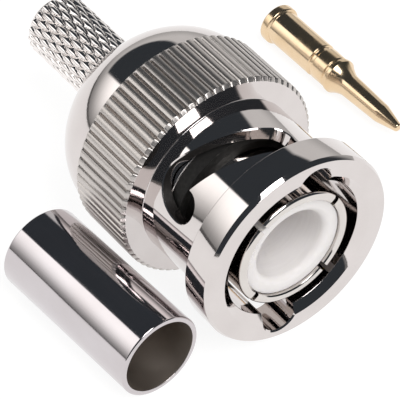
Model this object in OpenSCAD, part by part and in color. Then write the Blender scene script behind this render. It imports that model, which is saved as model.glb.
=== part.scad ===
// BNC cable plug, crimp kind, with its loose crimp ferrule and centre pin.
// Millimetres. The plug's axis is X and points out of the mating end. The origin is on that
// axis, at the front end of the outer contact. +Z is up. The three pieces lie on one flat
// surface: the plug on its knurled grip, the ferrule on its side, the pin on its head and tip.

/* [Coupling nut] */
// Diameter over the knurled grip
grip_d = 14.5; // [13.8:0.1:15.5]
// Length of the knurled grip
grip_len = 5; // [4:0.1:7]
// Number of grooves round the grip
grip_grooves = 70; // [48:1:90]
// Depth of each groove of the grip
groove_depth = 0.22; // [0.1:0.01:0.3]
// Length of the bevel at each end of the grip
grip_bevel = 0.2; // [0.1:0.05:0.4]
// Length of the domed rear shoulder
dome_len = 4.5; // [3.8:0.1:5]
// Wall of the neck that carries the cam slots
neck_wall = 0.8; // [0.6:0.05:1]
// Length of the neck
neck_len = 5.85; // [5.6:0.05:7]
// Radius of the fillet where the neck meets the grip
neck_fillet = 0.25; // [0.1:0.05:0.5]
// How far the front rim stands out from the neck
rim_step = 1.1; // [0.9:0.05:1.4]
// Width of the front rim
rim_w = 2.2; // [1.6:0.1:3]
// How far the rim stands in front of the outer contact
rim_proud = 0.3; // [0:0.05:1]
// Length of the slight taper at the rim's front edge
rim_taper_len = 0.35; // [0.1:0.05:0.8]
// Depth of the slight taper at the rim's front edge
rim_taper = 0.12; // [0.05:0.01:0.3]
// Width of the bevel at the mouth of the front bore
mouth_bevel = 0.58; // [0.2:0.02:0.8]
// Length of the bevel at the mouth of the front bore
mouth_bevel_len = 0.45; // [0.2:0.05:0.8]
// Thickness of the nut's rear wall
rear_wall = 2.5; // [1.5:0.1:3]
// Metal left round the recess in the nut's rear end
recess_wall = 0.45; // [0.3:0.05:0.7]

/* [Cam slots] */
// Width of a cam slot
slot_w = 2.15; // [2.1:0.05:2.4]
// Turn of the first lug channel from +Y towards +Z
lug_angle = 76; // [0:1:90]
// Turn from the lug channel to the detent
slot_turn = 75; // [70:1:85]
// Slope of the cam ramp
ramp_slope = 20; // [12:1:22]
// Radius of the inner corner where the slot turns into its detent
slot_corner_r = 0.08; // [0.05:0.01:0.3]
// Distance from the rim to the centre of the detent
detent_back = 2.85; // [2.6:0.05:3]
// Radius of the lug channel's round floor
channel_r = 1.25; // [1.15:0.05:1.35]

/* [Body] */
// Wall of the two guide lands round the outer contact's seat
land_wall = 0.88; // [0.6:0.01:1]
// Length of each guide land
land_len = 1.6; // [1.2:0.1:2]
// Length of the waist between the guide lands
waist_len = 1.6; // [1:0.1:2.5]
// Depth of the waist between the guide lands
waist_depth = 0.3; // [0.1:0.05:0.4]
// Diameter of the hub that passes through the nut's rear wall
hub_d = 6.2; // [5.8:0.1:6.3]
// Length of hub behind the retaining ring's groove
hub_tail = 0.5; // [0.4:0.1:0.7]
// Diameter over the knurled crimp stem
stem_d = 4.5; // [4.2:0.05:4.7]
// Length of the crimp stem
stem_len = 9; // [7:0.1:11]
// Bore of the crimp stem, for the cable's dielectric
stem_bore_d = 3.05; // [2.95:0.01:3.2]
// Length of the plain rounded end of the stem
stem_nose = 0.45; // [0.4:0.05:1]
// Diamonds round the stem
diamonds = 22; // [16:1:26]
// Axial pitch of the diamonds
diamond_pitch = 0.75; // [0.6:0.05:1]
// Depth of the diamond knurl
diamond_depth = 0.22; // [0.1:0.01:0.25]

/* [Outer contact and insulator] */
// Outside diameter of the outer contact
contact_d = 8.2; // [8.1:0.01:8.25]
// Wall of the outer contact
contact_wall = 0.6; // [0.5:0.05:0.7]
// Step down from the outer contact's barrel to its seat in the body
contact_step = 0.2; // [0.16:0.01:0.25]
// Distance from the outer contact's front end to the gasket
mating_depth = 5.6; // [5.3:0.1:6]
// Length of the slots in the outer contact
finger_len = 5; // [4:0.1:5.2]
// Width of the slots in the outer contact
finger_gap = 0.4; // [0.2:0.05:0.6]
// Number of fingers of the outer contact
fingers = 4; // [2:1:6]
// Turn of the first finger slot from +Y towards +Z
finger_angle = 38; // [0:1:89]
// How far the insulator lies behind the outer contact's front end
insulator_back = 0.25; // [0.1:0.05:0.5]
// Diameter of the insulator's front recess
recess_d = 4.95; // [4.8:0.01:5.1]
// Depth of the insulator's front recess
recess_depth = 5.3; // [5:0.1:5.5]
// Radius of the rounded mouth of the recess
recess_lip = 0.6; // [0.3:0.05:0.7]
// Thickness of the insulator's web, which the contact shaft passes through
web = 1.6; // [1.2:0.1:2]
// Length of the lead-in cone at the rear of the insulator
lead_in = 0.7; // [0.6:0.05:1]
// Thickness of the gasket
gasket_t = 1; // [0.8:0.1:1.3]

/* [Spring group] */
// Forward travel of the nut against the wave washer
travel = 0.6; // [0.3:0.05:0.7]
// Thickness of the wave washer's strip
wave_t = 0.3; // [0.2:0.05:0.4]
// Height of the waves left when the nut is fully forward
wave_left = 0.25; // [0.1:0.05:0.4]
// Number of waves
waves = 3; // [2:1:4]
// Thickness of the thrust washer
thrust_t = 0.5; // [0.4:0.05:0.8]
// Thickness of the retaining ring
ring_t = 0.6; // [0.5:0.05:0.8]
// Depth to which the retaining ring sits in the hub
ring_seat = 0.35; // [0.2:0.05:0.4]
// Radial width of the retaining ring
ring_w = 0.9; // [0.7:0.05:1.2]
// Opening of the retaining ring
ring_gap = 1.4; // [1:0.1:2.5]

/* [Crimp ferrule] */
// Outside diameter of the ferrule
ferrule_d = 5.75; // [5.4:0.05:6.2]
// Length of the ferrule
ferrule_len = 11.9; // [9:0.1:15]
// Wall of the ferrule
ferrule_wall = 0.35; // [0.25:0.05:0.45]
// Place of the ferrule's middle along X
ferrule_x = -6.9; // [-12:0.1:0]
// Gap beyond the place where the ferrule would touch the grip
ferrule_gap = 0.5; // [0.4:0.1:3]
// Turn of the ferrule about Z
ferrule_yaw = 3; // [0:0.5:5]

/* [Centre pin] */
// Diameter of the pin's head flange
pin_head_d = 2.85; // [2.7:0.05:2.9]
// Thickness of the pin's head flange
pin_head_t = 0.7; // [0.4:0.05:1]
// Diameter of the pin's wire barrel
barrel_d = 2.55; // [2.3:0.05:2.6]
// Length of the wire barrel up to its groove
barrel_len = 4.2; // [3.5:0.05:5]
// Length of the barrel in front of its groove
shoulder_len = 1.75; // [1:0.05:2.5]
// Length of the curved shoulder between the barrel and the shaft
ogive_len = 1.15; // [0.8:0.05:2]
// Diameter of the contact shaft
shaft_d = 1.4; // [1.32:0.01:1.44]
// Length of the contact shaft, its tip left out
shaft_len = 3.85; // [3:0.05:6]
// Length of the pin's pointed tip
tip_len = 1.15; // [0.8:0.05:1.5]
// Diameter of the pin's blunt end
tip_d = 0.55; // [0.4:0.05:0.7]
// Bore of the wire barrel
wire_bore_d = 1.05; // [0.9:0.01:1.3]
// Diameter of the inspection hole in the barrel
sight_hole_d = 0.7; // [0.5:0.05:0.9]
// Place of the pin's head along X
pin_x = -22.4; // [-24:0.1:-10]
// Distance from the grip's side to the pin's head
pin_gap = 8.6; // [4:0.1:12]
// Turn of the pin about Z
pin_yaw = 1; // [0:0.5:5]

/* [Clearances] */
// Radial clearance of pieces that are pushed together and stay
seat_gap = 0.02; // [0.01:0.01:0.05]
// Radial clearance of pieces that turn or slide on each other
run_gap = 0.05; // [0.03:0.01:0.08]
// Radial clearance of the guide lands in the nut's bore
bore_gap = 0.1; // [0.05:0.01:0.1]
// Axial play between faces that turn or slide on each other
face_gap = 0.04; // [0.02:0.01:0.08]

/* [Hidden] */
$fn = 96;
cut = 0.5; // how far a cutter reaches past the face that it cuts

// Outer contact, insulator and the body's socket
contact_r = contact_d / 2;
seat_r = contact_r - contact_step;
socket_r = seat_r + seat_gap;
contact_bore_r = contact_r - contact_wall;
insulator_r = contact_bore_r - seat_gap;
recess_floor_x = -insulator_back - recess_depth;

// Radii from the body's lands outwards
land_r = socket_r + land_wall;
bore_r = land_r + bore_gap;
neck_r = bore_r + neck_wall;
rim_r = neck_r + rim_step;
grip_r = grip_d / 2;
end_step = 0.04; // the grip's ends lie this far under its grooves, and the dome as far again
grip_root_r = grip_r - groove_depth;
grip_end_r = grip_root_r - end_step;
dome_top_r = grip_end_r - end_step;

// Radii at the rear, from the hub outwards
hub_r = hub_d / 2;
hub_hole_r = hub_r + run_gap;
ring_inner_r = hub_r - ring_seat;
ring_outer_r = ring_inner_r + ring_w;
rear_recess_r = ring_outer_r + 2 * run_gap;
nut_rear_r = rear_recess_r + recess_wall;
dome_drop = dome_top_r - nut_rear_r;
dome_r = (pow(dome_len, 2) + pow(dome_drop, 2)) / (2 * dome_drop);

// Places along the nut, from its front to its rear
rim_front_x = rim_proud;
rim_rear_x = rim_front_x - rim_w;
grip_front_x = rim_rear_x - neck_len;
grip_rear_x = grip_front_x - grip_len;
nut_rear_x = grip_rear_x - dome_len;

// Places along the body, from its front to its rear
wave_h = wave_t + wave_left + travel;
land_front_x = -mating_depth - gasket_t;
land_rear_x = land_front_x - 2 * land_len - waist_len;
socket_floor_x = land_rear_x + land_len / 2;
thrust_front_x = land_rear_x - wave_h - 2 * face_gap;
nut_floor_x = thrust_front_x - thrust_t - face_gap;
wall_rear_x = nut_floor_x - rear_wall;
groove_front_x = wall_rear_x;
groove_rear_x = groove_front_x - ring_t - 2 * face_gap;
hub_rear_x = groove_rear_x - hub_tail;
stem_rear_x = hub_rear_x - stem_len;

// The flat surface that the three pieces lie on
floor_z = -grip_r;
// Two round pieces on one surface touch when their axes are this far apart sideways
ferrule_y = -sqrt(grip_d * ferrule_d) - ferrule_gap;
pin_y = grip_r + pin_gap;

// Cam slot, unrolled: [distance round the neck, distance along X]
mm_per_deg = PI * neck_r / 180;
detent_bend = slot_w / 2 + slot_corner_r;
detent_s = slot_turn * mm_per_deg;
detent_x = rim_rear_x - detent_back;
bend_s = detent_s - detent_bend * (1 + sin(ramp_slope));
bend_x = detent_x - detent_bend * cos(ramp_slope);
entry_x = bend_x + bend_s * tan(ramp_slope);
ramp_steps = 9;
cap_angles = [80, 60, 40, 20];

// A station of the slot: [s, x, heading, half width]
function cap_station(s, x, heading, a, way) = [
  s + way * cos(heading) * sin(a) * slot_w / 2,
  x + way * sin(heading) * sin(a) * slot_w / 2,
  heading,
  cos(a) * slot_w / 2
];
function slot_stations() = concat(
  [for (a = cap_angles) cap_station(0, entry_x, -ramp_slope, a, -1)],
  [for (i = [0 : ramp_steps])
    [bend_s * i / ramp_steps, entry_x + (bend_x - entry_x) * i / ramp_steps, -ramp_slope, slot_w / 2]],
  [for (h = [-ramp_slope + 15 : 15 : 90])
    [
      bend_s + detent_bend * (sin(h) + sin(ramp_slope)),
      bend_x + detent_bend * (cos(ramp_slope) - cos(h)),
      h,
      slot_w / 2
    ]],
  [for (i = [len(cap_angles) - 1 : -1 : 0]) cap_station(detent_s, detent_x, 90, cap_angles[i], 1)]
);
function on_neck(s, x, r) = let (a = s / mm_per_deg) [x, r * cos(a), r * sin(a)];
function slot_corner(st, side, r) = on_neck(
  st[0] - side * sin(st[2]) * st[3],
  st[1] + side * cos(st[2]) * st[3],
  r
);

// Turns a profile drawn as [along X, radius] about the X axis
module turned(profile) {
  rotate([90, 0, 90])
    rotate_extrude()
      polygon([for (p = profile) [p[1], p[0]]]);
}

// A straight round bar along X between two places
module bar(x0, x1, r) {
  translate([min(x0, x1), 0, 0])
    rotate([0, 90, 0])
      cylinder(h = abs(x1 - x0), r = r);
}

// Points of an arc in a [along X, radius] profile
function arc(cx, cr, r, a0, a1, n) = [
  for (i = [0 : n]) let (a = a0 + (a1 - a0) * i / n) [cx + r * cos(a), cr + r * sin(a)]
];

// One cam slot, cut outwards through the neck
module cam_slot() {
  st = slot_stations();
  n = len(st);
  r_in = bore_r - cut;
  r_out = neck_r + cut;
  points = [
    for (s = st)
      each [
        slot_corner(s, -1, r_in), slot_corner(s, 1, r_in),
        slot_corner(s, 1, r_out), slot_corner(s, -1, r_out)
      ]
  ];
  walls = [
    for (i = [0 : n - 2], k = [0 : 3])
      let (a = 4 * i + k, b = 4 * i + (k + 1) % 4)
        each [[a, b + 4, b], [a, a + 4, b + 4]]
  ];
  last = 4 * (n - 1);
  ends = [
    [0, 1, 2], [0, 2, 3],
    [last, last + 2, last + 1], [last, last + 3, last + 2]
  ];
  polyhedron(points, concat(walls, ends));
}

// The axial channel that a lug follows from the rim to its slot
module lug_channel() {
  translate([0, bore_r, 0])
    bar(entry_x, rim_front_x + cut, channel_r);
}

// Section of the grip, with one V groove at each step
module grip_section() {
  step = 360 / grip_grooves;
  polygon([
    for (i = [0 : grip_grooves - 1])
      let (a = i * step)
        each [
          [grip_root_r * cos(a), grip_root_r * sin(a)],
          [grip_r * cos(a + 0.3 * step), grip_r * sin(a + 0.3 * step)],
          [grip_r * cos(a + 0.7 * step), grip_r * sin(a + 0.7 * step)]
        ]
  ]);
}

module grip() {
  intersection() {
    translate([grip_rear_x, 0, 0])
      rotate([90, 0, 90])
        linear_extrude(grip_len)
          grip_section();
    turned([
      [grip_rear_x, 0],
      [grip_rear_x, grip_end_r],
      [grip_rear_x + grip_bevel, grip_r],
      [grip_front_x - grip_bevel, grip_r],
      [grip_front_x, grip_end_r],
      [grip_front_x, 0]
    ]);
  }
}

// The nut's outside behind, between and in front of the grip
module nut_shape() {
  overlap = 0.1; // the dome and the neck reach into the grip by this much
  turned(concat(
    [[nut_rear_x, 0]],
    arc(grip_rear_x, dome_top_r - dome_r, dome_r, 90 + asin(dome_len / dome_r), 90, 24),
    [[grip_rear_x + overlap, dome_top_r], [grip_rear_x + overlap, 0]]
  ));
  turned(concat(
    [[grip_front_x - overlap, 0], [grip_front_x - overlap, neck_r + neck_fillet]],
    arc(grip_front_x + neck_fillet, neck_r + neck_fillet, neck_fillet, 180, 270, 5),
    [
      [rim_rear_x, neck_r],
      [rim_rear_x, rim_r],
      [rim_front_x - rim_taper_len, rim_r],
      [rim_front_x, rim_r - rim_taper],
      [rim_front_x, 0]
    ]
  ));
}

module coupling_nut() {
  color("#c9c6c3")
    difference() {
      union() {
        nut_shape();
        grip();
      }
      bar(nut_floor_x, rim_front_x + cut, bore_r);
      turned([
        [rim_front_x - mouth_bevel_len, 0],
        [rim_front_x - mouth_bevel_len, bore_r],
        [rim_front_x, bore_r + mouth_bevel],
        [rim_front_x + cut, bore_r + mouth_bevel],
        [rim_front_x + cut, 0]
      ]);
      bar(nut_floor_x + cut, nut_rear_x - cut, hub_hole_r);
      bar(wall_rear_x, nut_rear_x - cut, rear_recess_r);
      for (side = [0, 180])
        rotate([lug_angle + side, 0, 0]) {
          cam_slot();
          lug_channel();
        }
    }
}

module thrust_washer() {
  color("#a9a9ab")
    difference() {
      bar(thrust_front_x, thrust_front_x - thrust_t, land_r);
      bar(thrust_front_x + cut, thrust_front_x - thrust_t - cut, hub_hole_r);
    }
}

// A flat ring bent into waves, with its crests towards both neighbours
module wave_washer() {
  steps = 12 * waves;
  r_in = hub_r + 0.35;
  r_out = land_r - 0.15;
  swing = (wave_h - wave_t) / 2;
  mid_x = land_rear_x - face_gap - wave_h / 2;
  points = [
    for (i = [0 : steps - 1])
      let (a = 360 * i / steps, x = mid_x + swing * cos(waves * a))
        each [
          for (c = [[r_in, -1], [r_out, -1], [r_out, 1], [r_in, 1]])
            [x + c[1] * wave_t / 2, c[0] * cos(a), c[0] * sin(a)]
        ]
  ];
  faces = [
    for (i = [0 : steps - 1], k = [0 : 3])
      let (
        j = (i + 1) % steps,
        a = 4 * i + k,
        b = 4 * i + (k + 1) % 4,
        c = 4 * j + (k + 1) % 4,
        d = 4 * j + k
      )
        each [[a, b, c], [a, c, d]]
  ];
  color("#9c9c9e")
    polyhedron(points, faces);
}

module retaining_ring() {
  x_front = groove_front_x - face_gap;
  color("#a4a19c")
    difference() {
      bar(x_front, x_front - ring_t, ring_outer_r);
      bar(x_front + cut, x_front - ring_t - cut, ring_inner_r + seat_gap);
      translate([x_front - ring_t - cut, -ring_gap / 2, 0])
        cube([ring_t + 2 * cut, ring_gap, ring_outer_r + cut]);
    }
}

// Rings of the crimp stem from its rear to its front: [x, radius of even and of odd corners]
function stem_rings(x_front) =
  let (
    root_r = stem_d / 2 - diamond_depth,
    x_knurl = stem_rear_x + stem_nose,
    rows = 2 * round((x_front - x_knurl) / diamond_pitch),
    row_step = (x_front - x_knurl) / rows
  )
    concat(
      [
        [stem_rear_x, root_r - 0.25, root_r - 0.25],
        [stem_rear_x + 0.08, root_r - 0.1, root_r - 0.1],
        [stem_rear_x + 0.25, root_r, root_r]
      ],
      [for (j = [0 : rows])
        let (peak = stem_d / 2, x = x_knurl + j * row_step)
          j % 2 == 0 ? [x, peak, root_r] : [x, root_r, peak]]
    );

// The crimp stem, with a diamond knurl in front of its plain rounded end
module stem(x_front) {
  rings = stem_rings(x_front);
  columns = 2 * diamonds;
  points = [
    for (g = rings, i = [0 : columns - 1])
      let (a = 360 * i / columns, r = g[1 + i % 2]) [g[0], r * cos(a), r * sin(a)]
  ];
  skin = [
    for (j = [0 : len(rings) - 2], i = [0 : columns - 1])
      let (
        p = j * columns + i,
        q = j * columns + (i + 1) % columns,
        s = p + columns,
        t = q + columns
      )
        each ((i + j) % 2 == 1 ? [[p, s, q], [q, s, t]] : [[p, t, q], [p, s, t]])
  ];
  rear_cap = [[for (i = [0 : columns - 1]) i]];
  front_cap = [[for (i = [columns - 1 : -1 : 0]) (len(rings) - 1) * columns + i]];
  polyhedron(points, concat(skin, rear_cap, front_cap));
}

module plug_body() {
  color("#bfbcb8")
    difference() {
      union() {
        turned([
          [land_front_x, 0],
          [land_front_x, land_r],
          [land_front_x - land_len, land_r],
          [land_front_x - land_len, land_r - waist_depth],
          [land_rear_x + land_len, land_r - waist_depth],
          [land_rear_x + land_len, land_r],
          [land_rear_x, land_r],
          [land_rear_x, hub_r],
          [groove_front_x, hub_r],
          [groove_front_x, ring_inner_r],
          [groove_rear_x, ring_inner_r],
          [groove_rear_x, hub_r],
          [hub_rear_x, hub_r],
          [hub_rear_x, 0]
        ]);
        stem(hub_rear_x + cut);
      }
      bar(socket_floor_x, land_front_x + cut, socket_r);
      bar(socket_floor_x + cut, stem_rear_x - cut, stem_bore_d / 2);
    }
}

module outer_contact() {
  lip = 0.25;
  color("#cfccc8")
    difference() {
      turned(concat(
        [
          [socket_floor_x, contact_bore_r],
          [socket_floor_x, seat_r],
          [-mating_depth, seat_r],
          [-mating_depth, contact_r]
        ],
        arc(-lip, contact_r - lip, lip, 90, 0, 5),
        [[0, contact_bore_r + lip / 2], [-lip / 2, contact_bore_r]]
      ));
      for (k = [0 : fingers - 1])
        rotate([finger_angle + k * 360 / fingers, 0, 0])
          translate([-finger_len, 0, -finger_gap / 2])
            cube([finger_len + cut, contact_r + cut, finger_gap]);
    }
}

module insulator() {
  front_x = -insulator_back;
  recess_r = recess_d / 2;
  shaft_hole_r = shaft_d / 2 + seat_gap;
  head_hole_r = pin_head_d / 2 + run_gap;
  web_rear_x = recess_floor_x - web;
  color("#f1efec")
    turned(concat(
      [
        [socket_floor_x + lead_in, head_hole_r],
        [socket_floor_x, head_hole_r + lead_in],
        [socket_floor_x, insulator_r],
        [front_x, insulator_r]
      ],
      arc(front_x - recess_lip, recess_r + recess_lip, recess_lip, 0, -90, 8),
      [
        [recess_floor_x, recess_r],
        [recess_floor_x, shaft_hole_r],
        [web_rear_x, shaft_hole_r],
        [web_rear_x, head_hole_r]
      ]
    ));
}

module gasket() {
  color("#8d8a86")
    difference() {
      bar(-mating_depth, land_front_x, land_r - run_gap);
      bar(cut - mating_depth, land_front_x - cut, socket_r);
    }
}

module crimp_ferrule() {
  r = ferrule_d / 2;
  bevel = ferrule_wall / 3;
  half = ferrule_len / 2;
  color("#a5a3a0")
    translate([ferrule_x, ferrule_y, floor_z + r])
      rotate([0, 0, ferrule_yaw])
        turned([
          [-half, r - ferrule_wall],
          [-half, r - bevel],
          [bevel - half, r],
          [half - bevel, r],
          [half, r - bevel],
          [half, r - ferrule_wall]
        ]);
}

module centre_pin() {
  head_r = pin_head_d / 2;
  barrel_r = barrel_d / 2;
  shaft_r = shaft_d / 2;
  neck_x = pin_head_t + barrel_len;
  neck_w = 0.2;
  neck_r = barrel_r - 0.17;
  shoulder_x = neck_x + neck_w + shoulder_len;
  ogive_x = shoulder_x + ogive_len;
  tip_x = ogive_x + shaft_len;
  end_x = tip_x + tip_len;
  end_round = 0.15;
  wire_depth = neck_x;
  // The pin lies on the front edge of its head and on the foot of its tip
  dip = atan((head_r - barrel_r) / (shoulder_x - pin_head_t));
  lift = head_r * cos(dip) + pin_head_t * sin(dip);
  color("#d9a441")
    translate([pin_x, pin_y, floor_z + lift])
      rotate([0, dip, pin_yaw])
        difference() {
          turned(concat(
            [
              [0, 0], [0, head_r], [pin_head_t, head_r], [pin_head_t, barrel_r],
              [neck_x, barrel_r], [neck_x, neck_r], [neck_x + neck_w, neck_r],
              [neck_x + neck_w, barrel_r]
            ],
            [
              for (i = [0 : 6])
                let (a = 90 * i / 6)
                  [shoulder_x + ogive_len * sin(a), shaft_r + (barrel_r - shaft_r) * cos(a)]
            ],
            [[tip_x, shaft_r], [end_x - end_round, tip_d / 2], [end_x, tip_d / 2 - end_round], [end_x, 0]]
          ));
          bar(-cut, wire_depth, wire_bore_d / 2);
          translate([pin_head_t + barrel_len / 2, 0, 0])
            rotate([-90, 0, 0])
              cylinder(h = head_r + cut, d = sight_hole_d);
        }
}

coupling_nut();
thrust_washer();
wave_washer();
retaining_ring();
plug_body();
outer_contact();
insulator();
gasket();
crimp_ferrule();
centre_pin();
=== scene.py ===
import math

import bmesh
import bpy
from mathutils import Matrix, Vector


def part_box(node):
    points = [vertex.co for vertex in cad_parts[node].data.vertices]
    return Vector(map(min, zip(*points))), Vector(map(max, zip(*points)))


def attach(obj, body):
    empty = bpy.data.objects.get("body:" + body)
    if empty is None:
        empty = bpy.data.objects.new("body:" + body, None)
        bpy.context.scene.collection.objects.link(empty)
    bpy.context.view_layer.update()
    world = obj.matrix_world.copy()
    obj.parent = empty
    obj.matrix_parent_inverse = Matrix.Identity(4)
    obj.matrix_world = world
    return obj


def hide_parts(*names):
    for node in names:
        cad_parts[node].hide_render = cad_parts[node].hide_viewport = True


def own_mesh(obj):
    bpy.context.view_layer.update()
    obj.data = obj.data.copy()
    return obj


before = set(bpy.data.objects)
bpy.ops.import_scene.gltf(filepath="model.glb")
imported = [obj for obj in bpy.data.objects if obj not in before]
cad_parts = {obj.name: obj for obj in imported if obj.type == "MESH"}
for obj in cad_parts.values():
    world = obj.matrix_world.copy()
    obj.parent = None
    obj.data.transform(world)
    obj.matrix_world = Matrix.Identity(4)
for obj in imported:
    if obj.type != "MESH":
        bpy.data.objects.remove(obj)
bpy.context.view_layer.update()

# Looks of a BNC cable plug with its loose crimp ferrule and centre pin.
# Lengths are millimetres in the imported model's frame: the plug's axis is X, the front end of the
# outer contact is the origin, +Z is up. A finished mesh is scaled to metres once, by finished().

MM = 0.001


def reach(node, axis):
    """Lowest and highest place of a CAD node along an axis, in millimetres."""
    lo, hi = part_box(node)
    return lo[axis] / MM, hi[axis] / MM


# ---------------------------------------------------------------- sizes

NUT_REAR, RIM_FRONT = reach("coupling_nut", 0)
GRIP_R = reach("coupling_nut", 2)[1]
FLOOR = -GRIP_R
STEM_REAR, LAND_FRONT = reach("plug_body", 0)
SOCKET_FLOOR, CONTACT_FRONT = reach("outer_contact", 0)
CONTACT_R = reach("outer_contact", 2)[1]
INSULATOR_FRONT = reach("insulator", 0)[1]
WASHER_REAR = reach("thrust_washer", 0)[0]
RING_REAR, RING_FRONT = reach("retaining_ring", 0)
WAVE_REAR, WAVE_FRONT = reach("wave_washer", 0)

# coupling nut
RIM_R, RIM_W, RIM_TAPER, RIM_TAPER_LEN = 6.8, 2.2, 0.16, 0.3
NECK_R, NECK_LEN, BORE_R = 5.7, 5.85, 4.9
MOUTH_BEVEL, MOUTH_BEVEL_LEN = 0.58, 0.45
GRIP_LEN, GRIP_BEVEL = 5.0, 0.2
RIM_REAR = RIM_FRONT - RIM_W
GRIP_FRONT = RIM_REAR - NECK_LEN
GRIP_REAR = GRIP_FRONT - GRIP_LEN
GROOVES, GROOVE_DEPTH, END_STEP = 70, 0.22, 0.04
GRIP_END_R = GRIP_R - GROOVE_DEPTH - END_STEP
DOME_TOP_R = GRIP_END_R - END_STEP
NUT_REAR_R, RECESS_R, HUB_HOLE_R = 4.2, 3.75, 3.15

# cam slots, their angles in degrees
SLOT_W, LUG_ANGLE, SLOT_TURN, RAMP_SLOPE = 2.15, 76.0, 75.0, 20.0
SLOT_CORNER, DETENT_BACK, CHANNEL_R = 0.08, 2.85, 1.25

# plug body, outer contact and insulator
HUB_R, HUB_TAIL, RING_SEAT_R, CORE_BORE_R = 3.1, 0.5, 2.75, 1.6
LAND_R, LAND_LEN, WAIST_R, WAIST_LEN, SOCKET_R = 4.8, 1.6, 4.5, 1.6, 3.92
STEM_R, STEM_ROOT_R, STEM_BORE_R, STEM_NOSE = 2.25, 2.03, 1.525, 0.45
DIAMONDS, DIAMOND_PITCH = 22, 1.63
FACE_GAP, SEAT_GAP = 0.04, 0.02
CONTACT_WALL, CONTACT_STEP, MATING_DEPTH = 0.6, 0.2, 5.6
FINGERS, FINGER_LEN, FINGER_GAP, FINGER_ANGLE = 4, 5.0, 0.4, 38.0
RECESS_BORE_R, RECESS_FLOOR, PIN_HOLE_R, WEB, LEAD_IN = 2.475, -5.55, 0.72, 1.6, 0.7
DIELECTRIC_R = 1.475

# loose pieces, their angles in degrees
FERRULE_R, FERRULE_LEN, FERRULE_WALL, FERRULE_YAW = 2.875, 11.9, 0.35, 3.0
PIN_YAW, PIN_HEAD_X, PIN_HEAD_Y = 1.0, -22.4, 15.85
PIN_HEAD_R, PIN_HEAD_T, BARREL_R, SHAFT_R, WIRE_BORE_R = 1.425, 0.7, 1.275, 0.7, 0.525
BARREL_END, SHOULDER_END, SHAFT_START, SHAFT_END, PIN_END = 4.9, 6.85, 8.0, 11.85, 13.0
SIGHT_HOLE_R, SIGHT_HOLE_X = 0.35, 2.725

# wave washer
WAVE_INNER_R, WAVE_OUTER_R, WAVE_T, WAVES, NUT_TRAVEL = 3.45, 4.65, 0.3, 3, 0.6


# ---------------------------------------------------------------- nodes and colours


def colour(code, alpha=1.0):
    """An sRGB hex colour as the linear one that Blender's sockets take."""
    parts = [int(code[i : i + 2], 16) / 255 for i in (1, 3, 5)]
    return tuple(
        c / 12.92 if c <= 0.04045 else ((c + 0.055) / 1.055) ** 2.4 for c in parts
    ) + (alpha,)


def add(tree, kind, inputs=None, **settings):
    """Adds a node, with its settings and with its inputs set or linked. A node given as an
    input stands for the first of its outputs that is in use."""
    node = tree.nodes.new(kind)
    for key, value in settings.items():
        setattr(node, key, value)
    for key, value in (inputs or {}).items():
        if isinstance(value, bpy.types.Node):
            value = next(s for s in value.outputs if s.enabled)
        if isinstance(value, bpy.types.NodeSocket):
            tree.links.new(value, node.inputs[key])
        else:
            node.inputs[key].default_value = value
    return node


def per_mm(x, y, z):
    """The scale that gives so many pattern units a millimetre along each axis."""
    return x / MM, y / MM, z / MM


def material(name):
    """A new material, its tree and its object coordinates."""
    m = bpy.data.materials.new(name)
    m.use_nodes = True
    m.node_tree.nodes.clear()
    return m, m.node_tree, add(m.node_tree, "ShaderNodeTexCoord").outputs["Object"]


def dress(m, shades, mottle, gloss, relief=None, band=None, others=None):
    """Ends a material. The pattern mottle mixes its two shades. Gloss is a pattern, the stretch
    of it that counts, and the roughness at both ends. Relief is a pattern, its strength and its
    depth in millimetres. Band is a mask with a darker painted shade and a roughness of its own."""
    t = m.node_tree
    inputs = dict(others or {})
    tone = add(
        t,
        "ShaderNodeMix",
        {"Factor": mottle, "A": colour(shades[0]), "B": colour(shades[1])},
        data_type="RGBA",
    )
    pattern, low, high, smooth, rough = gloss
    roughness = add(
        t,
        "ShaderNodeMapRange",
        {"Value": pattern, "From Min": low, "From Max": high, "To Min": smooth, "To Max": rough},
    )
    if band:
        mask, painted_shade, dull = band
        tone = add(
            t, "ShaderNodeMix", {"Factor": mask, "A": tone, "B": colour(painted_shade)}, data_type="RGBA"
        )
        roughness = add(t, "ShaderNodeMix", {"Factor": mask, "A": roughness, "B": dull})
    if relief:
        height, strength, depth = relief
        inputs["Normal"] = add(
            t, "ShaderNodeBump", {"Height": height, "Strength": strength, "Distance": depth * MM}
        )
    shader = add(
        t, "ShaderNodeBsdfPrincipled", {"Base Color": tone, "Roughness": roughness, **inputs}
    )
    add(t, "ShaderNodeOutputMaterial", {"Surface": shader})
    return m


# ---------------------------------------------------------------- meshes


def placed(name, data):
    """A new object in the scene."""
    thing = bpy.data.objects.new(name, data)
    bpy.context.scene.collection.objects.link(thing)
    return thing


def rounded(corners, steps=4):
    """A closed profile from (x, radius, rounding) corners, each rounding an arc."""
    tiny, straight = 1e-6, math.radians(86)
    out = []
    for i, (x, r, f) in enumerate(corners):
        p = Vector((x, r))
        a = Vector(corners[i - 1][:2]) - p
        b = Vector(corners[(i + 1) % len(corners)][:2]) - p
        sharp = f <= 0 or a.length < tiny or b.length < tiny
        half = 0.0 if sharp else a.angle(b) / 2
        if sharp or half > straight:
            out.append((x, r))
            continue
        longest = 0.48
        back = min(f / math.tan(half), a.length * longest, b.length * longest)
        radius = back * math.tan(half)
        mid = (a.normalized() + b.normalized()).normalized()
        centre = p + mid * (radius / math.sin(half))
        start, end = p + a.normalized() * back - centre, p + b.normalized() * back - centre
        sweep = start.angle_signed(end)
        for k in range(steps + 1):
            w = -sweep * k / steps
            c, s = math.cos(w), math.sin(w)
            out.append((centre.x + start.x * c - start.y * s, centre.y + start.x * s + start.y * c))
    return out


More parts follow.
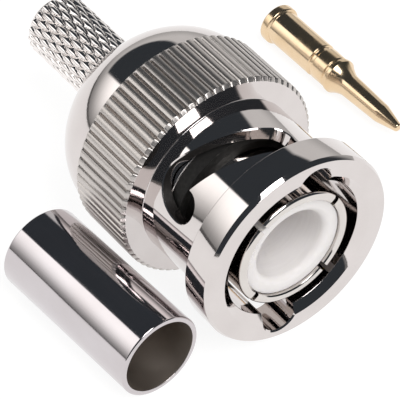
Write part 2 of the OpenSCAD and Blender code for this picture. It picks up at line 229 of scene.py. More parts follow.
def meshed(name, verts, faces):
    """An object from vertices and faces, its doubles merged and its faces turned outwards."""
    mesh = bpy.data.meshes.new(name)
    mesh.from_pydata(verts, [], faces)
    bm = bmesh.new()
    bm.from_mesh(mesh)
    bmesh.ops.remove_doubles(bm, verts=bm.verts, dist=1e-5)
    bmesh.ops.dissolve_degenerate(bm, edges=bm.edges, dist=1e-6)
    bmesh.ops.recalc_face_normals(bm, faces=bm.faces)
    bm.to_mesh(mesh)
    bm.free()
    return placed(name, mesh)


def looped(name, sections):
    """Closed sections joined each to the next, and the last to the first."""
    n, around = len(sections[0]), len(sections)
    faces = []
    for k in range(around):
        here, there = k * n, (k + 1) % around * n
        for i in range(n):
            j = (i + 1) % n
            faces.append((here + i, here + j, there + j, there + i))
    return meshed(name, [place for section in sections for place in section], faces)


def turned(name, profile, around):
    """A closed (x, radius) profile turned about X."""
    sections = []
    for k in range(around):
        a = 2 * math.pi * k / around
        sections.append([(x, r * math.cos(a), r * math.sin(a)) for x, r in profile])
    return looped(name, sections)


def evaluated(piece):
    """The piece with its modifiers turned into a plain mesh."""
    bpy.context.view_layer.update()
    made = bpy.data.meshes.new_from_object(
        piece.evaluated_get(bpy.context.evaluated_depsgraph_get())
    )
    made.name = piece.name
    piece.modifiers.clear()
    piece.data = made
    return piece


def cut_away(piece, cutters):
    """Takes the cutters out of the piece."""
    for c in cutters:
        m = piece.modifiers.new("cut", "BOOLEAN")
        m.operation, m.solver, m.object = "DIFFERENCE", "EXACT", c
    evaluated(piece)
    for c in cutters:
        bpy.data.objects.remove(c)


def with_tree(piece, tree, values):
    """Runs a Geometry Nodes tree on the piece, its inputs given by name."""
    m = piece.modifiers.new(tree.name, "NODES")
    m.node_group = tree
    for item in tree.interface.items_tree:
        if item.item_type == "SOCKET" and item.in_out == "INPUT" and item.name in values:
            m[item.identifier] = values[item.name]
    evaluated(piece)


def finished(piece, finish, body, slot, *nodes, sharp=32, turn=None):
    """Scales the piece to metres in its place and hands it to the frame."""
    mesh = piece.data
    if turn is not None:
        mesh.transform(turn)
    mesh.transform(Matrix.Scale(MM, 4))
    mesh.materials.clear()
    mesh.materials.append(finish)
    mesh.shade_smooth()
    mesh.set_sharp_from_angle(angle=math.radians(sharp))
    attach(piece, body)
    if nodes:
        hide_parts(*nodes)


# ---------------------------------------------------------------- knurling


def groove(t, given, phase):
    """The wall and the crown beside grooves that lie at each whole number of the phase: the
    share of the depth that they are sunk, 1 in the groove's middle."""
    off = add(t, "ShaderNodeMath", {0: phase, 1: 0.5}, operation="PINGPONG")
    wall = add(
        t,
        "ShaderNodeMapRange",
        {"Value": off, "From Max": given["Half width"], "To Min": 1.0, "To Max": 0.0},
    )
    near = add(t, "ShaderNodeMath", {0: off, 1: -2.0, 2: 1.0}, operation="MULTIPLY_ADD")
    return wall, add(t, "ShaderNodeMath", {0: near, 1: 2.0}, operation="POWER")


def straight_grooves(t, given, x, turns):
    """Grooves along X between lands that are slightly crowned."""
    phase = add(t, "ShaderNodeMath", {0: turns, 1: given["Grooves"]}, operation="MULTIPLY")
    wall, crown = groove(t, given, phase)
    low = add(t, "ShaderNodeMath", {0: crown, 1: given["Crown"]}, operation="MULTIPLY")
    return add(t, "ShaderNodeMath", {0: wall, 1: low}, operation="MAXIMUM")


def diamond_grooves(t, given, x, turns):
    """Two sets of crossing spiral grooves. Each diamond between them is a low dome."""
    from_rear = add(t, "ShaderNodeMath", {0: x, 1: given["Rear"]}, operation="SUBTRACT")
    pitches = add(t, "ShaderNodeMath", {0: from_rear, 1: given["Pitch"]}, operation="DIVIDE")
    along = add(t, "ShaderNodeMath", {0: pitches, 1: 0.5}, operation="ADD")
    across = add(t, "ShaderNodeMath", {0: turns, 1: given["Grooves"]}, operation="MULTIPLY")
    walls, crowns = {}, {}
    for i, way in enumerate(("ADD", "SUBTRACT")):
        phase = add(t, "ShaderNodeMath", {0: across, 1: along}, operation=way)
        walls[i], crowns[i] = groove(t, given, phase)
    wall = add(t, "ShaderNodeMath", walls, operation="MAXIMUM")
    crown = add(t, "ShaderNodeMath", crowns, operation="ADD")
    low = add(t, "ShaderNodeMath", {0: crown, 1: given["Crown"]}, operation="MULTIPLY")
    return add(t, "ShaderNodeMath", {0: wall, 1: low}, operation="MAXIMUM")


def knurl_tree(name, sizes, grooves):
    """A tree that rolls a knurl into a turned piece. Between Rear and Front, what lies outside
    the knurl's surface comes in to it. The function grooves adds the nodes for the surface."""
    t = bpy.data.node_groups.new(name, "GeometryNodeTree")
    t.interface.new_socket("Mesh", in_out="INPUT", socket_type="NodeSocketGeometry")
    t.interface.new_socket("Mesh", in_out="OUTPUT", socket_type="NodeSocketGeometry")
    for size in sizes:
        t.interface.new_socket(size, in_out="INPUT", socket_type="NodeSocketFloat")
    t.interface.new_socket("Finish", in_out="INPUT", socket_type="NodeSocketMaterial")
    given = add(t, "NodeGroupInput").outputs
    place = add(t, "GeometryNodeInputPosition")
    x, y, z = add(t, "ShaderNodeSeparateXYZ", {"Vector": place}).outputs
    away = add(t, "ShaderNodeCombineXYZ", {"Y": y, "Z": z})
    radius = add(t, "ShaderNodeVectorMath", {0: away}, operation="LENGTH")
    angle = add(t, "ShaderNodeMath", {0: z, 1: y}, operation="ARCTAN2")
    turns = add(t, "ShaderNodeMath", {0: angle, 1: 2 * math.pi}, operation="DIVIDE")

    sunk = grooves(t, given, x, turns)
    depth = add(t, "ShaderNodeMath", {0: sunk, 1: given["Depth"]}, operation="MULTIPLY")
    surface = add(t, "ShaderNodeMath", {0: given["Outside"], 1: depth}, operation="SUBTRACT")
    pressed = add(t, "ShaderNodeMath", {0: radius, 1: surface}, operation="MINIMUM")
    ratio = add(t, "ShaderNodeMath", {0: pressed, 1: radius}, operation="DIVIDE")
    squeeze = add(t, "ShaderNodeCombineXYZ", {"X": 1.0, "Y": ratio, "Z": ratio})
    moved = add(t, "ShaderNodeVectorMath", {0: place, 1: squeeze}, operation="MULTIPLY")
    after = add(t, "ShaderNodeMath", {0: x, 1: given["Rear"]}, operation="GREATER_THAN")
    before = add(t, "ShaderNodeMath", {0: x, 1: given["Front"]}, operation="LESS_THAN")
    band = add(t, "ShaderNodeMath", {0: after, 1: before}, operation="MULTIPLY")

    rolled = add(
        t,
        "GeometryNodeSetPosition",
        {"Geometry": given["Mesh"], "Selection": band, "Position": moved},
    )
    real = add(t, "GeometryNodeRealizeInstances", {0: rolled})
    finish = add(t, "GeometryNodeSetMaterial", {0: real, "Material": given["Finish"]})
    add(t, "NodeGroupOutput", {"Mesh": finish})
    return t


KNURL_SIZES = ("Grooves", "Half width", "Crown", "Outside", "Depth", "Rear", "Front")
STRAIGHT_KNURL = knurl_tree("Straight knurl", KNURL_SIZES, straight_grooves)
DIAMOND_KNURL = knurl_tree("Diamond knurl", KNURL_SIZES + ("Pitch",), diamond_grooves)


# ---------------------------------------------------------------- finishes


def bright_nickel(name, shades, rough, smear, lines, knurl=None):
    """Electroplated nickel on turned brass: mirror bright, with the faint lines of the lathe tool
    under the plating and thin cloudy smears where it was handled. The rolled knurl is duller, which
    is its real roughness, and darker, which is painted shade: knurl is its painted shade, its
    roughness and the radius that only it lies beyond."""
    m, t, place = material(name)
    # the smears are about 2 mm across
    cloud = add(t, "ShaderNodeTexNoise", {"Vector": place, "Scale": 0.45 / MM, "Detail": 4.0})
    # the tool's feed of about 0.12 mm leaves rings round the axis, one above another along X
    feed = add(t, "ShaderNodeMapping", {"Vector": place, "Scale": per_mm(8.0, 0.05, 0.05)})
    ring = add(t, "ShaderNodeTexNoise", {"Vector": feed, "Scale": 1.0, "Detail": 2.0})
    band = None
    if knurl:
        # the knurl's darker colour is painted shade; its higher roughness is real
        painted_shade, dull, beyond = knurl
        across = add(
            t, "ShaderNodeVectorMath", {0: place, 1: (0.0, 1.0, 1.0)}, operation="MULTIPLY"
        )
        out = add(t, "ShaderNodeVectorMath", {0: across}, operation="LENGTH")
        mask = add(t, "ShaderNodeMath", {0: out, 1: beyond * MM}, operation="GREATER_THAN")
        band = (mask, painted_shade, dull)
    return dress(
        m,
        shades,
        cloud,
        (cloud, 0.35, 0.75, rough, smear),
        relief=(ring, lines, 0.0035),
        band=band,
        others={"Metallic": 1.0},
    )


def drawn_nickel():
    """Nickel on drawn thin-wall tube: long faint draw lines run along it, so its reflections
    are streaked lengthwise and slightly softened."""
    m, t, place = material("nickel_drawn_tube")
    turn = add(
        t,
        "ShaderNodeMapping",
        {"Vector": place, "Rotation": (0, 0, math.radians(-FERRULE_YAW))},
    )
    # draw lines about 0.2 mm apart and some 8 mm long
    along = add(t, "ShaderNodeMapping", {"Vector": turn, "Scale": per_mm(0.12, 5.0, 5.0)})
    lines = add(t, "ShaderNodeTexNoise", {"Vector": along, "Scale": 1.0, "Detail": 3.0})
    # handling marks, 2 to 3 mm across
    wiped = add(t, "ShaderNodeMapping", {"Vector": turn, "Scale": per_mm(0.3, 0.5, 0.5)})
    cloud = add(t, "ShaderNodeTexNoise", {"Vector": wiped, "Scale": 1.0, "Detail": 3.0})
    return dress(
        m,
        ("#d2cdd0", "#c4bdbe"),
        cloud,
        (lines, 0.3, 0.7, 0.05, 0.13),
        relief=(lines, 0.3, 0.004),
        others={"Metallic": 1.0},
    )


def gold_flash():
    """Thin gold flash over nickel on turned brass: warm, polished, a little paler than solid
    gold, with the rings of the lathe tool."""
    m, t, place = material("gold_flash_turned")
    turn = add(
        t, "ShaderNodeMapping", {"Vector": place, "Rotation": (0, 0, math.radians(-PIN_YAW))}
    )
    # tool rings about 0.11 mm apart
    feed = add(t, "ShaderNodeMapping", {"Vector": turn, "Scale": per_mm(9.0, 0.1, 0.1)})
    rings = add(t, "ShaderNodeTexNoise", {"Vector": feed, "Scale": 1.0, "Detail": 2.0})
    # patches of thinner gold, a little over 1 mm across
    cloud = add(t, "ShaderNodeTexNoise", {"Vector": turn, "Scale": 0.8 / MM, "Detail": 3.0})
    return dress(
        m,
        ("#eed8ba", "#e0c198"),
        cloud,
        (cloud, 0.35, 0.75, 0.14, 0.26),
        relief=(rings, 0.3, 0.004),
        others={"Metallic": 1.0},
    )


def spring_steel():
    """Bright rolled spring steel strip: grey, finely brushed, duller than plating."""
    m, t, place = material("spring_steel_strip")
    # rolling grain 0.2 to 0.5 mm apart
    rolled = add(t, "ShaderNodeMapping", {"Vector": place, "Scale": per_mm(6.0, 2.0, 2.0)})
    grain = add(t, "ShaderNodeTexNoise", {"Vector": rolled, "Scale": 1.0, "Detail": 4.0})
    return dress(
        m,
        ("#a9a9ab", "#8d8d90"),
        grain,
        (grain, 0.3, 0.7, 0.22, 0.38),
        others={"Metallic": 1.0},
    )


def ptfe():
    """Turned PTFE: milky white, waxy and slightly translucent, with fine tool rings."""
    m, t, place = material("ptfe_turned_white")
    # tool rings about 0.2 mm apart
    feed = add(t, "ShaderNodeMapping", {"Vector": place, "Scale": per_mm(5.0, 0.6, 0.6)})
    rings = add(t, "ShaderNodeTexNoise", {"Vector": feed, "Scale": 1.0, "Detail": 3.0})
    waxy = {
        "IOR": 1.38,
        "Subsurface Weight": 0.25,
        "Subsurface Radius": (0.0006, 0.0006, 0.0005),
        "Subsurface Scale": 1.0,
    }
    return dress(
        m,
        ("#eae7e6", "#dfdbda"),
        rings,
        (rings, 0.3, 0.7, 0.4, 0.5),
        relief=(rings, 0.2, 0.01),
        others=waxy,
    )


def silicone():
    """Moulded black silicone: matt, slightly mottled by its filler."""
    m, t, place = material("silicone_moulded_black")
    # flecks of filler about 0.25 mm across
    fleck = add(t, "ShaderNodeTexNoise", {"Vector": place, "Scale": 4.0 / MM, "Detail": 4.0})
    return dress(
        m, ("#191817", "#121110"), fleck, (fleck, 0.3, 0.7, 0.55, 0.75), others={"IOR": 1.41}
    )


# the grip's knurl band: duller by its real roughness, darker by a painted shade
NUT_NICKEL = bright_nickel(
    "bright_nickel_turned",
    ("#dcd6d4", "#d0c9c7"),
    0.04,
    0.09,
    0.25,
    knurl=("#ccc6c2", 0.36, 7.0),
)
# the body's nickel is near white, lighter than the nut's same plating: painted highlight on the body
# and its knurled stem
BODY_NICKEL_PAINTED_LIGHT = bright_nickel("bright_nickel_knurled_painted_light", ("#f6f1ef", "#ece6e3"), 0.05, 0.1, 0.2)
CONTACT_NICKEL = bright_nickel("satin_nickel_contact", ("#ddd8d4", "#cfc9c4"), 0.07, 0.13, 0.3)
TUBE_NICKEL = drawn_nickel()
# the ferrule's bore: duller nickel, and its darker colour is partly painted shade inside the tube
SHADED_BORE_NICKEL = bright_nickel("dull_nickel_tube_bore_painted_shade", ("#bdb4ac", "#a69d95"), 0.42, 0.55, 0.4)
GOLD = gold_flash()
STEEL = spring_steel()
PTFE = ptfe()
SILICONE = silicone()


# ---------------------------------------------------------------- coupling nut


def nut_profile():
    """The nut's section, from the rear edge of its outside forwards and back along its bore."""
    edge, arcs = 0.05, 20
    drop = DOME_TOP_R - NUT_REAR_R
    length = GRIP_REAR - NUT_REAR
    dome_r = (length**2 + drop**2) / (2 * drop)
    full = math.asin(length / dome_r)
    dome = []
    for i in range(arcs + 1):
        a = full * (1 - i / arcs)
        dome.append(
            (
                GRIP_REAR - dome_r * math.sin(a),
                DOME_TOP_R - dome_r * (1 - math.cos(a)),
                0 if i else edge,
            )
        )
    wall_rear, wall_front = RING_FRONT, WASHER_REAR - FACE_GAP
    return rounded(
        dome
        + [
            (GRIP_REAR, GRIP_END_R, 0),
            (GRIP_REAR + GRIP_BEVEL, GRIP_R, edge),
            (GRIP_FRONT - GRIP_BEVEL, GRIP_R, edge),
            (GRIP_FRONT, GRIP_END_R, 0),
            (GRIP_FRONT, NECK_R, 0.06),
            (RIM_REAR, NECK_R, 0.03),
            (RIM_REAR, RIM_R, 0.07),
            (RIM_FRONT - RIM_TAPER_LEN, RIM_R, 0.06),
            (RIM_FRONT, RIM_R - RIM_TAPER, 0.06),
            (RIM_FRONT, BORE_R + MOUTH_BEVEL, edge),
            (RIM_FRONT - MOUTH_BEVEL_LEN, BORE_R, edge),
            (wall_front, BORE_R, 0),
            (wall_front, HUB_HOLE_R, 0),
            (wall_rear, HUB_HOLE_R, 0),
            (wall_rear, RECESS_R, 0),
            (NUT_REAR, RECESS_R, edge),
        ]
    )


def slot_lines():
    """The two sides of a cam slot, unrolled: distance round the neck and place along X. The slot
    starts and ends round, climbs as a ramp and bends forward into its detent."""
    slope, half, steps = math.radians(RAMP_SLOPE), SLOT_W / 2, 21
    per_deg = math.pi * NECK_R / 180
    bend = half + SLOT_CORNER
    end_s, end_x = SLOT_TURN * per_deg, RIM_REAR - DETENT_BACK
    bend_s = end_s - bend * (1 + math.sin(slope))
    bend_x = end_x - bend * math.cos(slope)
    start_x = bend_x + bend_s * math.tan(slope)
    # each station along the middle: its place, its heading and half the width there
    stations = []
    for a in range(80, 0, -10):
        w = math.radians(a)
        back = math.sin(w) * half
        place = (-math.cos(slope) * back, start_x + math.sin(slope) * back)
        stations.append((*place, -slope, math.cos(w) * half))
    for i in range(steps):
        part = i / (steps - 1)
        stations.append((bend_s * part, start_x + (bend_x - start_x) * part, -slope, half))
    for i in range(1, steps + 2):
        h = -slope + (math.pi / 2 + slope) * i / (steps + 1)
        s = bend_s + bend * (math.sin(h) + math.sin(slope))
        stations.append((s, bend_x + bend * (math.cos(slope) - math.cos(h)), h, half))
    for a in range(10, 90, 10):
        w = math.radians(a)
        stations.append((end_s, end_x + math.sin(w) * half, math.pi / 2, math.cos(w) * half))
    left = [(s - math.sin(h) * w, x + math.cos(h) * w) for s, x, h, w in stations]
    right = [(s + math.sin(h) * w, x - math.cos(h) * w) for s, x, h, w in stations]
    return left, right, start_x


def slot_cutter(turn):
    """A cam slot as a solid, wider where it leaves the neck so that its edge is broken. It
    widens by less than the corner's radius, so that its sides don't cross."""
    left, right, _ = slot_lines()
    n = len(left)
    loop = left + right[::-1]
    count = len(loop)
    flare = SLOT_CORNER - 0.005
    levels = (
        (BORE_R - 0.6, 0.0),
        (NECK_R - 0.07, 0.0),
        (NECK_R + 0.02, flare),
        (NECK_R + 0.6, flare),
    )
    verts, faces = [], []
    for r, out in levels:
        for i, (s, x) in enumerate(loop):
            before, after = loop[i - 1], loop[(i + 1) % count]
            ds, dx = after[0] - before[0], after[1] - before[1]
            size = math.hypot(ds, dx)
            a = math.radians(turn) + (s - dx / size * out) / NECK_R
            verts.append((x + ds / size * out, r * math.cos(a), r * math.sin(a)))
    for level in range(len(levels) - 1):
        b = level * count
        for i in range(count):
            j = (i + 1) % count
            faces.append((b + i, b + j, b + count + j, b + count + i))
    for b in (0, (len(levels) - 1) * count):
        for i in range(n - 1):
            faces.append((b + i, b + i + 1, b + count - 2 - i, b + count - 1 - i))
    return meshed("slot", verts, faces)


def channel_cutter(turn):
    """The round-floored channel that leads a lug from the rim into its slot."""
    rear = slot_lines()[2]
    bevel, beyond = 0.1, 0.6
    mouth_r = CHANNEL_R + 2 * bevel
    profile = [
        (rear, 0.0),
        (rear, CHANNEL_R),
        (RIM_FRONT - bevel, CHANNEL_R),
        (RIM_FRONT + bevel, mouth_r),
        (RIM_FRONT + beyond, mouth_r),
        (RIM_FRONT + beyond, 0.0),
    ]
    c = turned("channel", profile, 96)
    c.data.transform(
        Matrix.Rotation(math.radians(turn), 4, "X") @ Matrix.Translation((0, BORE_R, 0))
    )
    return c


def make_nut():
    """The coupling nut, with its knurled grip, two cam slots and two lug channels."""
    nut = turned("coupling_nut_skin", nut_profile(), GROOVES * 12)
    with_tree(
        nut,
        STRAIGHT_KNURL,
        {
            "Grooves": float(GROOVES),
            "Half width": 0.17,
            "Crown": 0.42,
            "Outside": GRIP_R,
            "Depth": GROOVE_DEPTH,
            "Rear": GRIP_REAR,
            "Front": GRIP_FRONT,
            "Finish": NUT_NICKEL,
        },
    )
    cutters = []
    for turn in (LUG_ANGLE, LUG_ANGLE + 180):
        cutters += [slot_cutter(turn), channel_cutter(turn)]
    cut_away(nut, cutters)
    finished(nut, NUT_NICKEL, "nut", "nut_nickel", "coupling_nut")


# ---------------------------------------------------------------- body, contact and insulator


def make_body():
    """The plug body: socket, two guide lands with a waist between them, and grooved hub."""
    groove_front, groove_rear = RING_FRONT + FACE_GAP, RING_REAR - FACE_GAP
    hub_rear = groove_rear - HUB_TAIL
    waist_front = LAND_FRONT - LAND_LEN
    waist_rear = waist_front - WAIST_LEN
    land_rear = waist_rear - LAND_LEN
    edge = 0.05
    core = turned(
        "plug_body_core",
        rounded(
            [
                (LAND_FRONT, SOCKET_R, 0),
                (LAND_FRONT, LAND_R, 0.06),
                (waist_front, LAND_R, edge),
                (waist_front, WAIST_R, edge),
                (waist_rear, WAIST_R, edge),
                (waist_rear, LAND_R, edge),
                (land_rear, LAND_R, 0.06),
                (land_rear, HUB_R, 0.1),
                (groove_front, HUB_R, 0.02),
                (groove_front, RING_SEAT_R, 0),
                (groove_rear, RING_SEAT_R, 0),
                (groove_rear, HUB_R, 0.03),
                (hub_rear, HUB_R, 0.08),
                (hub_rear, CORE_BORE_R, 0),
                (SOCKET_FLOOR, CORE_BORE_R, edge),
                (SOCKET_FLOOR, SOCKET_R, 0),
            ]
        ),
        192,
    )
    finished(core, BODY_NICKEL_PAINTED_LIGHT, "body", "body_nickel", "plug_body")
    make_stem(hub_rear + 0.3)


def make_stem(front):
    """The hollow crimp stem. Its front end is inside the hub, and its nose is left unknurled."""
    knurl_rear = STEM_REAR + STEM_NOSE
    bevel, rows = 0.1, 190
    bore = [(front, STEM_BORE_R), (STEM_REAR + bevel, STEM_BORE_R), (STEM_REAR, STEM_BORE_R + bevel)]
    nose = [
        (STEM_REAR, 1.76),
        (STEM_REAR + 0.05, 1.86),
        (STEM_REAR + 0.13, 1.95),
        (STEM_REAR + 0.27, 2.02),
        (STEM_REAR + 0.4, STEM_ROOT_R),
    ]
    band = [(knurl_rear + (front - knurl_rear) * i / rows, STEM_R) for i in range(rows + 1)]
    stem = turned("crimp_stem", bore + nose + band, DIAMONDS * 16)
    with_tree(
        stem,
        DIAMOND_KNURL,
        {
            "Grooves": float(DIAMONDS),
            "Half width": 0.17,
            "Crown": 0.5,
            "Outside": STEM_R,
            "Depth": STEM_R - STEM_ROOT_R,
            "Rear": knurl_rear - 0.001,
            "Front": front + 1.0,
            "Pitch": DIAMOND_PITCH,
            "Finish": BODY_NICKEL_PAINTED_LIGHT,
        },
    )
    finished(stem, BODY_NICKEL_PAINTED_LIGHT, "body", "body_nickel", sharp=80)


def make_contact():
    """The outer contact, a collar with four slots that let it spring."""
    inner, seat, lip = CONTACT_R - CONTACT_WALL, CONTACT_R - CONTACT_STEP, 0.08
    contact = turned(
        "outer_contact_skin",
        rounded(
            [
                (SOCKET_FLOOR, inner, 0),
                (SOCKET_FLOOR, seat, 0),
                (-MATING_DEPTH, seat, 0),
                (-MATING_DEPTH, CONTACT_R, 0),
                (CONTACT_FRONT, CONTACT_R, 0.25),
                (CONTACT_FRONT, inner + lip, 0.03),
                (CONTACT_FRONT - lip, inner, 0.03),
            ],
            steps=6,
        ),
        240,
    )
    # a slot's cutter reaches from inside the collar to beyond its outside and its front end
    ends, sides, half = (-FINGER_LEN, 1.0), (1.0, 5.0), FINGER_GAP / 2
    cutters = []
    for k in range(FINGERS):
        cutter = meshed(
            "finger_slot",
            [(x, y, z) for x in ends for y in sides for z in (-half, half)],
            [(0, 1, 3, 2), (4, 6, 7, 5), (0, 2, 6, 4), (1, 5, 7, 3), (0, 4, 5, 1), (2, 3, 7, 6)],
        )
        turn = math.radians(FINGER_ANGLE + 360 / FINGERS * k)
        cutter.data.transform(Matrix.Rotation(turn, 4, "X"))
        cutters.append(cutter)
    cut_away(contact, cutters)
    finished(contact, CONTACT_NICKEL, "body", "contact_nickel", "outer_contact")


def make_insulator():
    """The insulator, with its deep recess in front, its web and its bore behind."""
    outer, front = CONTACT_R - CONTACT_WALL - SEAT_GAP, INSULATOR_FRONT
    web_rear = RECESS_FLOOR - WEB
    piece = turned(
        "insulator_skin",
        rounded(
            [
                (SOCKET_FLOOR + LEAD_IN, DIELECTRIC_R, 0.05),
                (SOCKET_FLOOR, DIELECTRIC_R + LEAD_IN, 0),
                (SOCKET_FLOOR, outer, 0.05),
                (front, outer, 0.06),
                (front, RECESS_BORE_R, 0.6),
                (RECESS_FLOOR, RECESS_BORE_R, 0.1),
                (RECESS_FLOOR, PIN_HOLE_R, 0.03),
                (web_rear, PIN_HOLE_R, 0.03),
                (web_rear, DIELECTRIC_R, 0.05),
            ],
            steps=8,
        ),
        160,
    )
    finished(piece, PTFE, "body", "ptfe_white", "insulator")


# ---------------------------------------------------------------- ferrule, pin and wave washer


def make_ferrule():
    """The crimp ferrule, a thin tube that is dull inside. Its bore's darker colour is partly its duller
    nickel and partly painted shade.
    """
    lo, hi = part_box("crimp_ferrule")
    centre = (lo + hi) / 2 / MM
    half, inner = FERRULE_LEN / 2, FERRULE_R - FERRULE_WALL
    tube = turned(
        "crimp_ferrule_tube",
        rounded(
            [
                (-half, inner, 0.05),
                (-half, FERRULE_R, 0.12),
                (half, FERRULE_R, 0.12),
                (half, inner, 0.05),
            ],
            steps=5,
        ),
        256,
    )
    turn = Matrix.Translation(centre) @ Matrix.Rotation(math.radians(FERRULE_YAW), 4, "Z")
    # faces in the bore get the darker bore finish, which is partly painted shade
    in_bore = [math.hypot(f.center.y, f.center.z) < inner + 0.01 for f in tube.data.polygons]
    finished(tube, TUBE_NICKEL, "body", "ferrule_nickel", "crimp_ferrule", turn=turn)
    tube.data.materials.append(SHADED_BORE_NICKEL)
    tube.data.polygons.foreach_set("material_index", [int(inside) for inside in in_bore])


def pin_profile():
    """The pin's section: head flange, barrel, collar, second section, the sweep of the shoulder,
    a shaft that goes on tapering slightly, and the tip. Its wire bore comes last."""
    barrel_r, collar_r = BARREL_R - 0.05, BARREL_R - 0.2
    line_front = SHOULDER_END - 0.36
    foot_r, arcs = SHAFT_R + 0.1, 10
    sweep = []
    for i in range(arcs + 1):
        part = i / arcs
        x = SHOULDER_END + (SHAFT_START - SHOULDER_END) * (0.12 + 0.88 * part)
        sweep.append((x, foot_r + (BARREL_R - 0.2 - SHAFT_R) * (1 - part) ** 1.6, 0))
    return rounded(
        [
            (0, WIRE_BORE_R, 0.04),
            (0, PIN_HEAD_R, 0.12),
            (PIN_HEAD_T - 0.1, PIN_HEAD_R, 0.12),
            (PIN_HEAD_T, barrel_r, 0.05),
            (BARREL_END - 0.1, barrel_r, 0.08),
            (BARREL_END - 0.02, collar_r, 0.05),
            (BARREL_END + 0.22, collar_r, 0.05),
            (BARREL_END + 0.3, BARREL_R - 0.07, 0.08),
            (line_front - 0.19, BARREL_R - 0.09, 0.06),
            (line_front - 0.14, BARREL_R - 0.17, 0.05),
            (line_front, BARREL_R - 0.17, 0.05),
            (line_front + 0.1, BARREL_R, 0.08),
            (SHOULDER_END, BARREL_R, 0.1),
        ]
        + sweep
        + [
            (SHAFT_END - 0.6, SHAFT_R - 0.02, 1.5),
            (PIN_END, 0.275, 0.16),
            (PIN_END, 0.0, 0),
            (PIN_END - 0.5, 0.0, 0),
            (BARREL_END - 0.3, 0.0, 0),
            (BARREL_END, WIRE_BORE_R, 0),
        ],
        steps=5,
    )


def make_pin():
    """The centre pin, with the inspection hole in its barrel."""
    pin = turned("centre_pin_skin", pin_profile(), 128)
    depth = 3
    sight = turned("sight_hole", [(0, 0), (0, SIGHT_HOLE_R), (depth, SIGHT_HOLE_R), (depth, 0)], 48)
    sight.data.transform(
        Matrix.Translation((SIGHT_HOLE_X, 0, 0)) @ Matrix.Rotation(math.radians(90), 4, "Z")
    )
    cut_away(pin, [sight])
    # it rests on its flange and on the front end of its barrel
    dip = math.atan((PIN_HEAD_R - BARREL_R) / (SHOULDER_END - PIN_HEAD_T))
    lift = PIN_HEAD_R * math.cos(dip) + PIN_HEAD_T * math.sin(dip)
    turn = (
        Matrix.Translation((PIN_HEAD_X, PIN_HEAD_Y, FLOOR + lift))
        @ Matrix.Rotation(math.radians(PIN_YAW), 4, "Z")
        @ Matrix.Rotation(dip, 4, "Y")
    )
    finished(pin, GOLD, "body", "gold", "centre_pin", turn=turn)


def make_wave_washer():
    """The wave washer as a strip of its own, in its free wavy shape; the real one flattens as the nut
    is pulled forward.
    """
    length, half, around = WAVE_FRONT - WAVE_REAR, WAVE_T / 2, 180
    middle, swing, edge = (WAVE_REAR + WAVE_FRONT) / 2, (length - WAVE_T) / 2, 0.04
    corners = ((-half, WAVE_INNER_R), (-half, WAVE_OUTER_R), (half, WAVE_OUTER_R), (half, WAVE_INNER_R))
    section = rounded([(x, r, edge) for x, r in corners], steps=3)
    sections = []
    for k in range(around):
        a = 2 * math.pi * k / around
        x = middle + swing * math.cos(WAVES * a)
        sections.append([(x + off, r * math.cos(a), r * math.sin(a)) for off, r in section])
    strip = looped("wave_washer_strip", sections)
    finished(strip, STEEL, "body", "spring_steel", "wave_washer")
    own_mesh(strip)


make_nut()
make_body()
make_contact()
make_insulator()
make_ferrule()
make_pin()
make_wave_washer()

# The other small rings sit inside the nut: their CAD solids stay, with real finishes
for name, finish in (
    ("thrust_washer", STEEL),
    ("retaining_ring", STEEL),
    ("gasket", SILICONE),
):
    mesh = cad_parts[name].data
    mesh.materials.clear()
    mesh.materials.append(finish)


# ---------------------------------------------------------------- floor, light and camera


def white_paper():
    """Uncoated white paper: matt, with a barely seen grain. To the camera and to metal it is
    mostly plain white, and the rest of it takes the shadows."""
    m, t, place = material("white_paper")
    grain = add(t, "ShaderNodeTexNoise", {"Vector": place, "Scale": 0.6 / MM, "Detail": 3.0})
    tone = add(
        t,
        "ShaderNodeMix",
        {"Factor": grain, "A": colour("#ececec"), "B": colour("#e9e9e9")},
        data_type="RGBA",
    )
    matt = add(
        t,
        "ShaderNodeBsdfPrincipled",
        {"Base Color": tone, "Roughness": 0.9, "Specular IOR Level": 0.0},
    )
    ray = add(t, "ShaderNodeLightPath").outputs
    shiny = {0: ray["Is Glossy Ray"], 1: ray["Is Transmission Ray"]}
    metal = add(t, "ShaderNodeMath", shiny, operation="MAXIMUM")
    seen = add(t, "ShaderNodeMath", {0: ray["Is Camera Ray"], 1: metal}, operation="MAXIMUM")
    share = add(t, "ShaderNodeMath", {0: seen, 1: 0.75}, operation="MULTIPLY")
    glow = add(t, "ShaderNodeEmission", {"Color": colour("#ffffff"), "Strength": 1.15})
    both = add(t, "ShaderNodeMixShader", {0: share, 1: matt, 2: glow})
    add(t, "ShaderNodeOutputMaterial", {"Surface": both})
    return m


def make_floor():
    """A large pale table top. It keeps the shadows, and shows as white where it is lit."""
    half = 1.5
    verts = [(x, y, FLOOR * MM) for x in (-half, half) for y in (-half, half)]
    mesh = bpy.data.meshes.new("table_top")
    mesh.from_pydata(verts, [], [(0, 2, 3, 1)])
    mesh.materials.append(white_paper())
    placed("table_top", mesh)


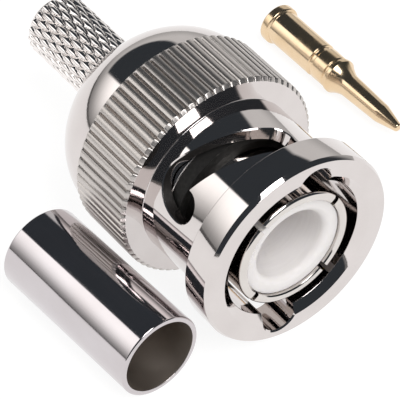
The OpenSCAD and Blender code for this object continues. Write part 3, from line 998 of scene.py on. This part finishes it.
def make_world():
    """A white studio. The camera sees plain white. Metal sees the room: pale walls, a dark
    ceiling and a dark front side, where the camera stands."""
    world = bpy.data.worlds.new("studio")
    bpy.context.scene.world = world
    world.use_nodes = True
    t = world.node_tree
    t.nodes.clear()
    way = add(t, "ShaderNodeTexCoord").outputs["Generated"]
    x, y, z = add(t, "ShaderNodeSeparateXYZ", {"Vector": way}).outputs
    # the ceiling's edge on the ferrule's side leans over, and it comes down behind the plug
    lean = add(t, "ShaderNodeMath", {0: z, 1: 0.62, 2: y}, operation="MULTIPLY_ADD")
    past = add(t, "ShaderNodeMath", {0: x, 1: 0.62}, operation="ADD")
    behind = add(t, "ShaderNodeMath", {0: past, 1: 0.0}, operation="MINIMUM")
    height = add(t, "ShaderNodeMath", {0: z, 1: behind}, operation="SUBTRACT")

    # each soft edge of the room: what it runs along, where it starts and ends, the two levels
    edges = {
        "left wall": (z, -0.02, 0.64, 0.26, 1.65),
        "horizon line": (z, 0.06, 0.03, 0.0, 0.75),
        "right wall": (z, 0.0, 0.3, 0.5, 0.72),
        "right of the plug": (y, -0.25, 0.2, 0.0, 1.0),
        "ceiling edge": (lean, -0.02, 0.02, 0.0, 1.0),
        "ceiling height": (height, 0.53, 0.59, 0.0, 1.0),
        "front side": (x, -0.12, 0.12, 0.0, 1.0),
        "above the table": (z, 0.0, 0.05, 0.0, 1.0),
    }
    edge = {}
    for name, (value, start, end, first, last) in edges.items():
        edge[name] = add(
            t,
            "ShaderNodeMapRange",
            {"Value": value, "From Min": start, "From Max": end, "To Min": first, "To Max": last},
            interpolation_type="SMOOTHSTEP",
        )

    left = add(t, "ShaderNodeMix", {"Factor": edge["horizon line"], "A": edge["left wall"], "B": 0.05})
    walls = {"Factor": edge["right of the plug"], "A": left, "B": edge["right wall"]}
    wall = add(t, "ShaderNodeMix", walls)
    over = {0: edge["ceiling edge"], 1: edge["ceiling height"]}
    ceiling = add(t, "ShaderNodeMath", over, operation="MULTIPLY")
    before = {0: edge["front side"], 1: edge["above the table"]}
    front = add(t, "ShaderNodeMath", before, operation="MULTIPLY")
    dark = add(t, "ShaderNodeMath", {0: ceiling, 1: front}, operation="MAXIMUM")

    ray = add(t, "ShaderNodeLightPath").outputs
    shiny = {0: ray["Is Glossy Ray"], 1: ray["Is Transmission Ray"]}
    metal = add(t, "ShaderNodeMath", shiny, operation="MAXIMUM")
    plain = add(t, "ShaderNodeMix", {"Factor": ray["Is Camera Ray"], "A": 0.66, "B": 1.0})
    light = add(t, "ShaderNodeMix", {"Factor": metal, "A": plain, "B": wall})
    shaded = add(t, "ShaderNodeMath", {0: dark, 1: metal}, operation="MULTIPLY")
    level = add(t, "ShaderNodeMix", {"Factor": shaded, "A": light, "B": 0.85})
    paint = add(
        t,
        "ShaderNodeMix",
        {"Factor": shaded, "A": colour("#fffefc"), "B": colour("#3b4045")},
        data_type="RGBA",
    )
    sky = add(t, "ShaderNodeBackground", {"Color": paint, "Strength": level})
    add(t, "ShaderNodeOutputWorld", {"Surface": sky})


def make_soft_box():
    """The key light: a soft box overhead and to the front, aimed at the plug. Its long side
    runs along the plug."""
    data = bpy.data.lights.new("soft_box", "AREA")
    data.shape, data.size, data.size_y, data.energy = "RECTANGLE", 0.18, 0.28, 0.95
    lamp = placed("soft_box", data)
    way, away = Vector((0.573, -0.06, 0.82)), 0.4
    lamp.location = way * away
    back = way.normalized()
    along = back.cross(Vector((0, 1, 0))).normalized()
    across = along.cross(back)
    lamp.rotation_mode = "QUATERNION"
    lamp.rotation_quaternion = Matrix((across, along, back)).transposed().to_quaternion()


def make_camera():
    """At the viewing angle of the catalogue view: 54 degrees round, 45 degrees up."""
    turn, up, away = math.radians(53.72), math.radians(44.66), 0.170
    aim = Vector((-6.75, -2.11, 0.0)) * MM
    back = Vector(
        (math.sin(turn) * math.cos(up), -math.cos(turn) * math.cos(up), math.sin(up))
    )
    data = bpy.data.cameras.new("camera")
    data.lens, data.sensor_width = 250.6, 36.0
    data.clip_start, data.clip_end = 0.005, 10.0
    camera = placed("camera", data)
    camera.location = aim + back * away
    camera.rotation_mode = "QUATERNION"
    camera.rotation_quaternion = (-back).to_track_quat("-Z", "Y")
    bpy.context.scene.camera = camera


make_floor()
make_world()
make_soft_box()
make_camera()
bpy.context.scene.view_settings.view_transform = "Standard"
